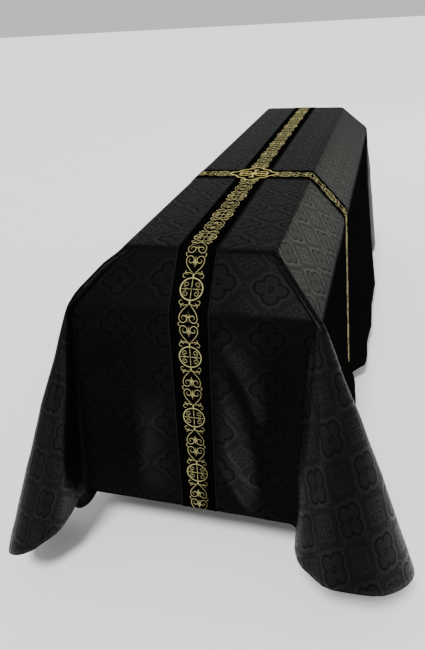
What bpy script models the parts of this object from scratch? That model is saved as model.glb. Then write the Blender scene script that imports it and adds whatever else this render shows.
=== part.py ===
"""Funeral pall laid over a hip-lidded casket that stands on a plain bier.

Metres, +Z up. +Y runs along the casket, the near end is at -Y and the right side at +X. The
drape is worked out round the middle of the casket, and every size of it is that of the
cloth's outer face. At the end all of it moves, so that the origin is on the floor under the
middle of the whole pall, whose corners don't flare alike.
"""
import math

import bmesh
import bpy
import numpy as np

# The lid under the cloth: a flat top, four slopes and a rim
RIM_WIDTH = 0.600
RIM_LENGTH = 2.140
LID_WIDTH = 0.374
LID_LENGTH = 1.920
LID_DROP = 0.122
RIM_HEIGHT = 0.715

# The cloth
CLOTH_THICKNESS = 0.002
END_HANG = 0.571
SIDE_HANG = 0.660
SEAT_GAP = 0.0003
TOP_BEND = 0.012
RIM_BEND = 0.016
TOP_CORNER = 0.022

# The cross: one band from hem to hem, two arms that butt against it, a woven plaque
BAND_WIDTH = 0.100
BAND_THICKNESS = 0.0012
CROSS_Y = -0.307
PLAQUE_RADIUS = 0.080
PLAQUE_THICKNESS = 0.0015
PLAQUE_STEPS = 64

# The casket and its bier, plain because the pall hides them
CASKET_INSET = 0.010
CASKET_DEPTH = 0.310
CASKET_TAPER = 0.030
CASKET_BEVEL = 0.024
BOARD_WIDTH = 0.400
BOARD_LENGTH = 1.460
BOARD_THICKNESS = 0.030
LEG_SIDE = 0.056
LEG_INSET = 0.040
RAIL_HEIGHT = 0.060
RAIL_THICKNESS = 0.024
RAIL_LEVEL = 0.130

# One row for each corner of the pall. neck: how far the flare turns back on itself, in degrees.
# fillet: radius of the valley beside the flare, as a share of the flare's own. gather: share of
# the corner's spare cloth in the flare. start: how far above the rim the flare begins.
# x_reach, y_reach: how far it stands out. rounding: share of both hangs that is cut away in a
# quarter of an ellipse at the cloth's corner.
# end_lean, side_lean: how far the two walls beside it swing out, in degrees.
FLARES = [
    dict(x=+1, y=-1, neck=100, fillet=0.21, gather=0.53, start=0.048, x_reach=1.06, y_reach=1.07,
         rounding=0.96, end_lean=4.6, side_lean=4.1),
    dict(x=+1, y=+1, neck=92, fillet=0.34, gather=0.42, start=0.040, x_reach=0.25, y_reach=1.00,
         rounding=0.75, end_lean=4.0, side_lean=3.6),
    dict(x=-1, y=+1, neck=108, fillet=0.26, gather=0.50, start=0.045, x_reach=0.95, y_reach=1.05,
         rounding=0.75, end_lean=4.0, side_lean=4.5),
    dict(x=-1, y=-1, neck=110, fillet=0.34, gather=0.56, start=0.046, x_reach=0.66, y_reach=1.20,
         rounding=0.73, end_lean=4.0, side_lean=5.0),
]

# How far each wall swings out: place along it, and lean in degrees. Under the bands, and for a
# little way beside them, the cloth hangs without any swing along the wall.
NEAR_LEAN = [(-0.30, 4.0), (0.00, 4.1), (0.30, 4.6)]
FAR_LEAN = [(-0.30, 4.0), (0.30, 4.0)]
RIGHT_LEAN = [(-1.00, 4.1), (-0.45, 4.6), (-0.35, 3.6), (-0.25, 3.6), (-0.17, 7.4), (0.08, 8.7),
              (0.42, 10.0), (0.66, 8.6), (1.00, 4.0)]
LEFT_LEAN = [(-1.00, 5.0), (-0.25, 4.0), (0.10, 7.5), (0.45, 5.2), (0.75, 7.0), (1.00, 4.5)]
BAND_CLEAR = 0.004
ARM_CLEAR = 0.020

# Main folds. place: metres along an end wall in X or a side wall in Y, or share of a flare from
# its end wall to its side wall. fall: metres below the rim. height: a ridge, or a trough if minus.
# A fold dies away over a share of its length at each end, or only half away where it runs out at
# the hem, and it stops short of the bands.
FOLD_FADE = 0.3
OPEN_FADE = 0.5
FOLD_CLEAR = 0.04
FOLDS = [
    dict(on="near", place=(0.075, 0.215), fall=(0.00, 0.33), width=0.030, height=0.011),
    dict(on="near", place=(0.060, 0.200), fall=(0.16, 0.50), width=0.032, height=0.012),
    dict(on="near", place=(0.062, 0.190), fall=(0.30, 0.56), width=0.030, height=0.009),
    dict(on="near", place=(0.080, 0.205), fall=(0.09, 0.41), width=0.026, height=-0.008),
    dict(on="near", place=(0.230, 0.200), fall=(0.05, 0.565), width=0.026, height=-0.010),
    dict(on="near", place=(-0.215, -0.190), fall=(0.04, 0.565), width=0.034, height=-0.009),
    dict(on="near", place=(-0.120, -0.110), fall=(0.20, 0.565), width=0.045, height=0.006),
    dict(on="flare 0", place=(0.06, 0.13), fall=(-0.06, 0.50), width=0.060, height=0.013),
    dict(on="flare 0", place=(0.42, 0.38), fall=(0.16, 0.70), width=0.070, height=-0.010),
    dict(on="flare 0", place=(0.62, 0.60), fall=(0.06, 0.70), width=0.080, height=0.008),
    dict(on="flare 3", place=(0.55, 0.60), fall=(-0.20, 0.01), width=0.300, height=0.010),
    dict(on="flare 3", place=(0.72, 0.70), fall=(0.04, 0.70), width=0.070, height=-0.009),
    dict(on="flare 3", place=(0.46, 0.50), fall=(0.10, 0.70), width=0.070, height=0.007),
    dict(on="flare 1", place=(0.35, 0.38), fall=(0.10, 0.70), width=0.080, height=-0.009),
    dict(on="flare 2", place=(0.60, 0.56), fall=(0.10, 0.70), width=0.080, height=-0.009),
    dict(on="far", place=(-0.180, -0.150), fall=(0.08, 0.62), width=0.040, height=-0.008),
    dict(on="far", place=(0.110, 0.170), fall=(0.02, 0.45), width=0.036, height=0.009),
    dict(on="right", place=(-0.45, -0.44), fall=(0.48, 0.80), width=0.100, height=0.024),
    dict(on="right", place=(-0.10, -0.12), fall=(0.10, 0.72), width=0.080, height=0.012),
    dict(on="right", place=(0.42, 0.40), fall=(0.10, 0.72), width=0.110, height=-0.014),
    dict(on="right", place=(0.76, 0.74), fall=(0.10, 0.72), width=0.110, height=0.010),
    dict(on="left", place=(-0.02, 0.00), fall=(0.10, 0.72), width=0.100, height=-0.012),
    dict(on="left", place=(0.62, 0.60), fall=(0.10, 0.72), width=0.120, height=0.012),
    dict(on="left", place=(-0.70, -0.72), fall=(0.10, 0.72), width=0.110, height=0.010),
]

# How finely the drape is built
END_STEPS = 6
NEAR_SIDE_STEPS = 8
FAR_SIDE_STEPS = 13
VALLEY_STEPS = 3
CREST_STEPS = 6
HANG_STEPS = 7

LID_HEIGHT = RIM_HEIGHT + LID_DROP
QUARTER = math.pi / 4


def clear_scene():
    for old in list(bpy.data.objects):
        bpy.data.objects.remove(old, do_unlink=True)


def ease(value):
    """0 below 0, 1 above 1, and a soft S between."""
    t = np.clip(value, 0.0, 1.0)
    return t * t * (3 - 2 * t)


def flare_loop(row):
    """The plan of a flare one metre down: valley, crest and valley, from wall to wall.

    Returns the points beyond the rim corner, how far they have turned from the end wall to the
    side wall, as a share, and how far along each wall the loop starts."""
    neck = math.radians(row["neck"])
    bend = math.sin(neck) + math.cos(neck)
    spare = row["fillet"] * neck + QUARTER + neck - (1 + row["fillet"]) * bend + row["fillet"]
    crest = row["gather"] * QUARTER / spare
    valley = row["fillet"] * crest
    foot = (crest + valley) * bend - valley
    points = []
    lengths = []
    for step in range(VALLEY_STEPS + 1):
        turn = neck * step / VALLEY_STEPS
        points.append((-foot + valley * math.sin(turn), valley * (1 - math.cos(turn))))
        lengths.append(valley * turn)
    centre = (-foot + (valley + crest) * math.sin(neck), valley - (valley + crest) * math.cos(neck))
    for step in range(1, CREST_STEPS + 1):
        turn = (neck + QUARTER) * step / CREST_STEPS
        heading = neck - turn
        points.append((centre[0] - crest * math.sin(heading), centre[1] + crest * math.cos(heading)))
        lengths.append(valley * neck + crest * turn)
    half = lengths[-1]
    other = [(point[1], point[0]) for point in reversed(points[:-1])]
    shares = [length / (2 * half) for length in lengths]
    shares += [1 - share for share in reversed(shares[:-1])]
    return points + other, shares, foot


def hang_length(angle, rounding):
    """Length of cloth from the rim corner to the cut edge, angle from straight down the end."""
    down = math.cos(angle) / END_HANG
    across = math.sin(angle) / SIDE_HANG
    length = 1 / max(down, across)
    straight = 1 - rounding
    if length * min(down, across) > straight:
        along = straight * (down + across)
        square = down ** 2 + across ** 2
        length = (along + math.sqrt(along ** 2 - square * (2 * straight ** 2 - rounding ** 2))) / square
    return length


def lean_along(table, place):
    places, leans = zip(*table)
    return math.radians(float(np.interp(place, places, leans)))


class Station:
    """One line down the cloth: where it leaves the lid's top, the rim and the hem."""

    def __init__(self, region, place, top, rim, swing, length):
        self.region = region
        self.place = place
        self.top = np.array([top[0], top[1], LID_HEIGHT])
        self.rim = np.array([rim[0], rim[1], RIM_HEIGHT])
        swing = np.array([swing[0], swing[1], 0.0])
        down = math.sqrt(1 - min(float(swing @ swing), 0.9))
        self.length = length
        self.fall = swing - np.array([0.0, 0.0, down])


def corner_stations(number):
    """The stations round one flare, from its end wall to its side wall."""
    row = FLARES[number]
    points, shares, foot = flare_loop(row)
    end_swing = math.sin(math.radians(row["end_lean"]))
    side_swing = math.sin(math.radians(row["side_lean"]))
    flip = np.array([row["x"], row["y"]])
    reach = np.array([row["x_reach"], row["y_reach"]])
    rim_corner = np.array([RIM_WIDTH, RIM_LENGTH]) / 2
    lid_corner = np.array([LID_WIDTH, LID_LENGTH]) / 2
    stations = []
    for point, share in zip(points, shares):
        out = reach * np.array(point)
        turn = 2 * QUARTER * share
        arc = TOP_CORNER * (np.array([math.sin(turn), math.cos(turn)]) - 1)
        stations.append(Station(
            region=f"flare {number}",
            place=share,
            top=flip * (lid_corner + arc),
            rim=flip * (rim_corner + out * row["start"]),
            swing=flip * (np.array([side_swing, end_swing]) + out),
            length=hang_length(turn, row["rounding"]),
        ))
    return stations


def wall_places(first, last, strip, steps_before, steps_after):
    """Places along a wall at the rim: even steps on both sides of the band's three lines."""
    before = np.linspace(first, strip[0], steps_before + 1)[:-1]
    after = np.linspace(strip[-1], last, steps_after + 1)[1:]
    return [*before[1:], *strip, *after[:-1]]


def share_between(place, first, last, fixed):
    """How far a place lies from the fixed strip, which hangs plumb, to the wall's end."""
    low, high = fixed
    if place < low:
        return (low - place) / (low - first), first
    if place > high:
        return (place - high) / (last - high), last
    return 0.0, None


def wall_stations(region, axis, side, start, end, strip, fixed, steps, leans, length):
    """Stations along one wall, from the flare station start to the flare station end."""
    first, last = start.rim[axis], end.rim[axis]
    other = 1 - axis
    stations = []
    for place in wall_places(first, last, strip, *steps):
        share, edge = share_between(place, first, last, fixed)
        nearest = start if edge == first else end
        top = np.zeros(2)
        rim = np.zeros(2)
        swing = np.zeros(2)
        top[axis] = place + share * (nearest.top[axis] - nearest.rim[axis])
        top[other] = side * (LID_WIDTH if axis else LID_LENGTH) / 2
        rim[axis] = place
        rim[other] = side * (RIM_WIDTH if axis else RIM_LENGTH) / 2
        swing[axis] = share * nearest.fall[axis]
        swing[other] = side * math.sin(lean_along(leans, place))
        stations.append(Station(region, place, top, rim, swing, length))
    return stations


def ring_of_stations():
    """All the stations in order round the pall, anticlockwise from above."""
    flares = [corner_stations(number) for number in range(4)]
    half = BAND_WIDTH / 2
    end_strip = [-half, 0.0, half]
    side_strip = [CROSS_Y - half, CROSS_Y, CROSS_Y + half]
    end_fixed = (-half - BAND_CLEAR, half + BAND_CLEAR)
    side_fixed = (CROSS_Y - half - ARM_CLEAR, CROSS_Y + half + ARM_CLEAR)
    end_steps = (END_STEPS, END_STEPS)
    side_steps = (NEAR_SIDE_STEPS, FAR_SIDE_STEPS)
    near_right, far_right, far_left, near_left = flares
    near = wall_stations("near", 0, -1, near_left[0], near_right[0], end_strip, end_fixed,
                         end_steps, NEAR_LEAN, END_HANG)
    right = wall_stations("right", 1, 1, near_right[-1], far_right[-1], side_strip, side_fixed,
                          side_steps, RIGHT_LEAN, SIDE_HANG)
    far = wall_stations("far", 0, 1, far_left[0], far_right[0], end_strip, end_fixed,
                        end_steps, FAR_LEAN, END_HANG)
    left = wall_stations("left", 1, -1, near_left[-1], far_left[-1], side_strip, side_fixed,
                         side_steps, LEFT_LEAN, SIDE_HANG)
    return (near + near_right + right + far_right[::-1] + far[::-1] + far_left
            + left[::-1] + near_left[::-1])


def soft_bend(before, corner, after, arm):
    """Three points that turn a corner softly, arm away from it on both sides."""
    back = (before - corner) / np.linalg.norm(before - corner)
    ahead = (after - corner) / np.linalg.norm(after - corner)
    enter = corner + back * arm
    leave = corner + ahead * arm
    middle = (enter + 2 * corner + leave) / 4
    return [enter, middle, leave]


def line_down(station, inward):
    """Points down one station, and how far below the rim the cloth has run at each."""
    inside = station.top + inward
    hem = station.rim + station.fall * station.length
    slope = np.linalg.norm(station.rim - station.top)
    points = soft_bend(inside, station.top, station.rim, TOP_BEND)
    points += soft_bend(station.top, station.rim, hem, RIM_BEND)
    runs = [-slope - TOP_BEND, -slope, -slope + TOP_BEND, -RIM_BEND, 0.0, RIM_BEND]
    for step in range(1, HANG_STEPS + 1):
        run = RIM_BEND + (station.length - RIM_BEND) * step / HANG_STEPS
        points.append(station.rim + station.fall * run)
        runs.append(run)
    return points, runs


def inward_at(station):
    """The way from a station's lid edge towards the middle of the lid."""
    if station.region in ("near", "far"):
        return np.array([0.0, -np.sign(station.top[1]), 0.0])
    if station.region in ("left", "right"):
        return np.array([-np.sign(station.top[0]), 0.0, 0.0])
    turn = 2 * QUARTER * station.place
    across, along = np.sign(station.top[0]), np.sign(station.top[1])
    return np.array([-across * math.sin(turn), -along * math.cos(turn), 0.0])


def surface_normals(grid):
    """Outward normals of a grid of points: rows down the cloth, columns round it."""
    round_it = np.roll(grid, -1, axis=1) - np.roll(grid, 1, axis=1)
    down = np.gradient(grid, axis=0)
    normal = np.cross(down, round_it)
    return normal / np.linalg.norm(normal, axis=2, keepdims=True)


def fold_height(stations, runs):
    """Height of the main folds over the smooth drape, for every point of the grid."""
    height = np.zeros(runs.shape)
    for column, station in enumerate(stations):
        for fold in FOLDS:
            if fold["on"] != station.region:
                continue
            run = runs[:, column]
            centre = np.interp(run, fold["fall"], fold["place"])
            across = np.exp(-((station.place - centre) / fold["width"]) ** 2)
            reach = fold["fall"][1] - fold["fall"][0]
            begin = ease((run - fold["fall"][0]) / (FOLD_FADE * reach))
            runs_out = OPEN_FADE if fold["fall"][1] > END_HANG else 0.0
            finish = ease((fold["fall"][1] - run) / (FOLD_FADE * reach) + runs_out)
            height[:, column] += fold["height"] * across * begin * finish
        if station.region in ("near", "far", "left", "right"):
            height[:, column] *= clear_of_band(station)
    return height


def clear_of_band(station):
    """0 under the bands, where the cloth lies plain, rising to 1 beside them."""
    middle = 0.0 if station.region in ("near", "far") else CROSS_Y
    return float(ease((abs(station.place - middle) - BAND_WIDTH / 2) / FOLD_CLEAR))


def drape():
    """Stations and the grid of the cloth's outer face, with its folds."""
    stations = ring_of_stations()
    lines = [line_down(station, inward_at(station)) for station in stations]
    grid = np.array([line[0] for line in lines]).transpose(1, 0, 2)
    runs = np.array([line[1] for line in lines]).T
    normals = surface_normals(grid)
    grid = grid + normals * fold_height(stations, runs)[..., None]
    return stations, grid


def make_material(name, colour, roughness, metallic=0.0):
    material = bpy.data.materials.new(name)
    material.use_nodes = True
    shader = material.node_tree.nodes["Principled BSDF"]
    shader.inputs["Base Color"].default_value = (*colour, 1.0)
    shader.inputs["Roughness"].default_value = roughness
    shader.inputs["Metallic"].default_value = metallic
    return material


def add_object(name, mesh, material):
    mesh.materials.append(material)
    part = bpy.data.objects.new(name, mesh)
    bpy.context.collection.objects.link(part)
    return part


def mesh_from(name, points, faces):
    mesh = bpy.data.meshes.new(name)
    mesh.from_pydata([tuple(point) for point in points], [], faces)
    mesh.update()
    return mesh


def build_cloth(grid, material):
    """The pall's cloth: the draped outer face, thickened inwards, in one piece."""
    rows, columns = grid.shape[:2]
    points = grid.reshape(-1, 3)
    faces = [list(range(columns))]
    for row in range(rows - 1):
        for column in range(columns):
            beside = (column + 1) % columns
            faces.append([row * columns + beside, row * columns + column,
                          (row + 1) * columns + column, (row + 1) * columns + beside])
    mesh = mesh_from("pall_cloth", points, faces)
    shape = bmesh.new()
    shape.from_mesh(mesh)
    bmesh.ops.triangulate(shape, faces=[face for face in shape.faces if len(face.verts) > 4])
    shape.to_mesh(mesh)
    shape.free()
    mesh.shade_smooth()
    part = add_object("pall_cloth", mesh, material)
    thicken = part.modifiers.new("Thickness", "SOLIDIFY")
    thicken.thickness = CLOTH_THICKNESS
    thicken.offset = -1
    return part


def build_strip(name, lines, material):
    """A band laid on the cloth. lines: left edge, middle and right edge, seen from outside."""
    count = len(lines[0])
    strip = np.array(lines)
    along = np.gradient(strip, axis=1)
    across = strip[-1] - strip[0]
    normal = np.cross(across[None], along)
    normal = normal / np.linalg.norm(normal, axis=2, keepdims=True)
    under = strip + normal * SEAT_GAP
    over = under + normal * BAND_THICKNESS
    points = np.concatenate([over.reshape(-1, 3), under.reshape(-1, 3)])
    lift = len(lines) * count
    faces = []
    for line in range(len(lines) - 1):
        for step in range(count - 1):
            corner = line * count + step
            quad = [corner, corner + count, corner + count + 1, corner + 1]
            faces.append(quad)
            faces.append([index + lift for index in reversed(quad)])
    last = (len(lines) - 1) * count
    for step in range(count - 1):
        faces.append([step + 1, step + 1 + lift, step + lift, step])
        faces.append([last + step, last + step + lift, last + step + 1 + lift, last + step + 1])
    for line in range(len(lines) - 1):
        near = line * count
        far = near + count - 1
        faces.append([near, near + lift, near + count + lift, near + count])
        faces.append([far + count, far + count + lift, far + lift, far])
    mesh = mesh_from(name, points, faces)
    mesh.shade_smooth()
    mesh.set_sharp_from_angle(angle=math.radians(40))
    return add_object(name, mesh, material)


def band_lines(stations, grid, region, places):
    """The lines of the cloth's face at three places of a wall, from the lid to the hem."""
    lines = []
    for place in places:
        column = [index for index, station in enumerate(stations)
                  if station.region == region and abs(station.place - place) < 1e-6][0]
        lines.append(grid[:, column])
    return lines


def build_bands(stations, grid, material):
    half = BAND_WIDTH / 2
    places = [-half, 0.0, half]
    near = band_lines(stations, grid, "near", places)
    far = band_lines(stations, grid, "far", places)
    whole = [np.concatenate([down[::-1], up]) for down, up in zip(near, far)]
    build_strip("band_long", whole, material)
    for region, side in (("right", 1), ("left", -1)):
        places = [CROSS_Y + half * side, CROSS_Y, CROSS_Y - half * side]
        lines = []
        for place, line in zip(places, band_lines(stations, grid, region, places)):
            butt = np.array([side * (half + SEAT_GAP), place, LID_HEIGHT])
            lines.append(np.concatenate([[butt], line]))
        build_strip(f"band_arm_{region}", lines, material)


def plaque_outline(radius, steps):
    """An ogee quatrefoil: four round lobes with a small point between each two."""
    points = []
    for step in range(steps):
        angle = 2 * math.pi * step / steps
        lobes = 0.84 + 0.10 * math.cos(4 * angle) + 0.06 * math.cos(8 * angle)
        points.append((radius * lobes * math.cos(angle), radius * lobes * math.sin(angle)))
    return points


def build_plaque(material):
    outline = plaque_outline(PLAQUE_RADIUS, PLAQUE_STEPS)
    bottom = LID_HEIGHT + SEAT_GAP + BAND_THICKNESS + SEAT_GAP
    points = [(x, CROSS_Y + y, bottom + PLAQUE_THICKNESS) for x, y in outline]
    points += [(x, CROSS_Y + y, bottom) for x, y in outline]
    count = len(outline)
    faces = [list(range(count)), list(range(2 * count - 1, count - 1, -1))]
    for step in range(count):
        beside = (step + 1) % count
        faces.append([step, step + count, beside + count, beside])
    mesh = mesh_from("plaque", points, faces)
    add_object("plaque", mesh, material)


def slope_inset(drop, run, depth):
    """How far in a slope's upper edge lies when its face is set back by the cloth."""
    slope = math.hypot(drop, run)
    return depth * (slope - run) / drop


def build_casket(material):
    """A plain closed casket: a box that narrows to its foot, and a hipped lid."""
    depth = CLOTH_THICKNESS + SEAT_GAP
    side_run = (RIM_WIDTH - LID_WIDTH) / 2
    end_run = (RIM_LENGTH - LID_LENGTH) / 2
    top_x = LID_WIDTH / 2 - slope_inset(LID_DROP, side_run, depth)
    top_y = LID_LENGTH / 2 - slope_inset(LID_DROP, end_run, depth)
    rim_x = RIM_WIDTH / 2 - CASKET_INSET
    top_z = LID_HEIGHT - depth
    rim_z = top_z - (rim_x - top_x) * LID_DROP / side_run
    rim_y = top_y + (top_z - rim_z) * end_run / LID_DROP
    foot_z = RIM_HEIGHT - CASKET_DEPTH
    sections = [
        (top_x, top_y, top_z),
        (rim_x, rim_y, rim_z),
        (rim_x - CASKET_TAPER, rim_y - CASKET_TAPER, foot_z),
    ]
    points = []
    for x, y, z in sections:
        points += [(-x, -y, z), (x, -y, z), (x, y, z), (-x, y, z)]
    faces = [[0, 1, 2, 3], [11, 10, 9, 8]]
    for level in range(len(sections) - 1):
        for side in range(4):
            beside = (side + 1) % 4
            faces.append([4 * level + beside, 4 * level + side,
                          4 * level + side + 4, 4 * level + beside + 4])
    mesh = mesh_from("casket", points, faces)
    mesh.shade_smooth()
    part = add_object("casket", mesh, material)
    bevel = part.modifiers.new("Soft edges", "BEVEL")
    bevel.width = CASKET_BEVEL
    bevel.segments = 3
    bevel.limit_method = "ANGLE"
    bevel.angle_limit = math.radians(20)
    return foot_z


def build_block(name, low, high, material):
    """A squared length of wood between two corners."""
    low = np.array(low)
    high = np.array(high)
    shape = bmesh.new()
    bmesh.ops.create_cube(shape, size=1.0)
    mesh = bpy.data.meshes.new(name)
    bmesh.ops.scale(shape, vec=tuple(high - low), verts=shape.verts)
    shape.to_mesh(mesh)
    shape.free()
    part = add_object(name, mesh, material)
    part.location = tuple((low + high) / 2)


def build_bier(board_top, material):
    """A low bier: a board on four legs, with a rail between the legs on each side."""
    board_low = board_top - BOARD_THICKNESS
    half_x, half_y = BOARD_WIDTH / 2, BOARD_LENGTH / 2
    build_block("bier_board", (-half_x, -half_y, board_low), (half_x, half_y, board_top), material)
    leg_x = half_x - LEG_INSET
    leg_y = half_y - LEG_INSET
    for name, side, end in (("near_right", 1, -1), ("far_right", 1, 1),
                            ("far_left", -1, 1), ("near_left", -1, -1)):
        x = sorted([side * leg_x, side * (leg_x - LEG_SIDE)])
        y = sorted([end * leg_y, end * (leg_y - LEG_SIDE)])
        build_block(f"bier_leg_{name}", (x[0], y[0], 0.0), (x[1], y[1], board_low - SEAT_GAP), material)
    rail_y = leg_y - LEG_SIDE - SEAT_GAP
    for name, side in (("right", 1), ("left", -1)):
        middle = side * (leg_x - LEG_SIDE / 2)
        build_block(f"bier_rail_{name}", (middle - RAIL_THICKNESS / 2, -rail_y, RAIL_LEVEL),
                    (middle + RAIL_THICKNESS / 2, rail_y, RAIL_LEVEL + RAIL_HEIGHT), material)


def centre_on_origin(grid):
    """Moves everything so that the box round the whole pall stands centred on the origin."""
    low, high = grid.min(axis=(0, 1)), grid.max(axis=(0, 1))
    for part in bpy.data.objects:
        part.location.x -= (low[0] + high[0]) / 2
        part.location.y -= (low[1] + high[1]) / 2


def main():
    clear_scene()
    cloth = make_material("black_damask", (0.020, 0.021, 0.020), 0.55)
    velvet = make_material("black_galloon", (0.006, 0.006, 0.006), 0.80)
    gold = make_material("gold_thread", (0.55, 0.43, 0.16), 0.45)
    wood = make_material("dark_wood", (0.080, 0.042, 0.022), 0.45)
    stations, grid = drape()
    build_cloth(grid, cloth)
    build_bands(stations, grid, velvet)
    build_plaque(gold)
    foot = build_casket(wood)
    build_bier(foot - SEAT_GAP, wood)
    centre_on_origin(grid)


main()
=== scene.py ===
# %% [markdown]
# # A funeral pall over a casket
# A pall is a large cloth of black figured damask, laid over a casket, with a cross of woven
# bands sewn on. This lesson dresses the plain solids of the frame: a fine draped cloth, the
# bands with their raised gold ornament, the plaque over the crossing and the finishes.

# %% Load the frame
import math

import bmesh
import bpy
import numpy as np
from mathutils import Matrix, Vector, noise


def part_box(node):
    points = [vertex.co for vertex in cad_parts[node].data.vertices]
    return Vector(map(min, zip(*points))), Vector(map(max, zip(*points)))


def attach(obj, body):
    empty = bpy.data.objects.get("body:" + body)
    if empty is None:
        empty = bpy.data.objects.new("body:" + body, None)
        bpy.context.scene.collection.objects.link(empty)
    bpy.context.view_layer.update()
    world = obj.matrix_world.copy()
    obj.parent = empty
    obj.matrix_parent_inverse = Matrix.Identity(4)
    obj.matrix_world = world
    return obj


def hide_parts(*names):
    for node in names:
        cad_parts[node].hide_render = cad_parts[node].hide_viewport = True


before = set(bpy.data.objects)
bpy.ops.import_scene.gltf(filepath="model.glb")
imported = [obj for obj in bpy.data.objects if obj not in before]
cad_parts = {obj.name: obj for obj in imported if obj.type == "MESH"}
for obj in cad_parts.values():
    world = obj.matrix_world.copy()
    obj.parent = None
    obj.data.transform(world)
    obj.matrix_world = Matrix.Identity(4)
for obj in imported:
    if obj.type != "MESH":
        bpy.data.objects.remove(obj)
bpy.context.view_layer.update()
casket_low, casket_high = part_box("casket")
MIDDLE = np.array([(casket_low[0] + casket_high[0]) / 2, (casket_low[1] + casket_high[1]) / 2, 0.0])
LID_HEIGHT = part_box("pall_cloth")[1][2]
print("nodes", sorted(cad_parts), "lid height", round(LID_HEIGHT, 4))

# %% [markdown]
# ## The sizes of the drape
# The pall lies on a hipped lid: a flat top, four slopes and a rim, from which it hangs. These
# are the sizes of the cloth's outer face round the middle of the casket, as in the solids. Each
# corner of the cloth stands out in a soft flare, a cone with a valley on both sides.

# %% Sizes of the lid, the cloth and the cross
RIM_WIDTH, RIM_LENGTH = 0.600, 2.140
LID_WIDTH, LID_LENGTH, LID_DROP = 0.374, 1.920, 0.122
RIM_HEIGHT = LID_HEIGHT - LID_DROP
END_HANG, SIDE_HANG = 0.571, 0.660
TOP_BEND, RIM_BEND, TOP_CORNER = 0.012, 0.016, 0.022
CLOTH_THICKNESS = 0.0018
END_SLOPE = math.hypot((RIM_LENGTH - LID_LENGTH) / 2, LID_DROP)
SIDE_SLOPE = math.hypot((RIM_WIDTH - LID_WIDTH) / 2, LID_DROP)
BAND_WIDTH, BAND_THICKNESS, SEAT_GAP = 0.100, 0.0012, 0.0003
CROSS_Y = -0.307
QUARTER = math.pi / 4
FLAT_WIDTH = LID_WIDTH + 2 * (SIDE_SLOPE + SIDE_HANG)
FLAT_LENGTH = LID_LENGTH + 2 * (END_SLOPE + END_HANG)
print(f"the pall was cut {FLAT_WIDTH:.3f} x {FLAT_LENGTH:.3f} m")

# %% The four flares, as in the solids
FLARES = [
    dict(x=+1, y=-1, neck=100, fillet=0.21, gather=0.53, start=0.048, x_reach=1.06, y_reach=1.07,
         rounding=0.96, end_lean=4.6, side_lean=4.1),
    dict(x=+1, y=+1, neck=92, fillet=0.34, gather=0.42, start=0.040, x_reach=0.25, y_reach=1.00,
         rounding=0.75, end_lean=4.0, side_lean=3.6),
    dict(x=-1, y=+1, neck=108, fillet=0.26, gather=0.50, start=0.045, x_reach=0.95, y_reach=1.05,
         rounding=0.75, end_lean=4.0, side_lean=4.5),
    dict(x=-1, y=-1, neck=110, fillet=0.34, gather=0.56, start=0.046, x_reach=0.66, y_reach=1.20,
         rounding=0.73, end_lean=4.0, side_lean=5.0),
]

# %% How far each wall swings out: place along it, and lean in degrees
NEAR_LEAN = [(-0.30, 4.0), (0.00, 4.1), (0.30, 4.6)]
FAR_LEAN = [(-0.30, 4.0), (0.30, 4.0)]
RIGHT_LEAN = [(-1.00, 4.1), (-0.45, 4.6), (-0.35, 3.6), (-0.25, 3.6), (-0.17, 7.4), (0.08, 8.7),
              (0.42, 10.0), (0.66, 8.6), (1.00, 4.0)]
LEFT_LEAN = [(-1.00, 5.0), (-0.25, 4.0), (0.10, 7.5), (0.45, 5.2), (0.75, 7.0), (1.00, 4.5)]
BAND_CLEAR, ARM_CLEAR = 0.004, 0.020
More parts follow.
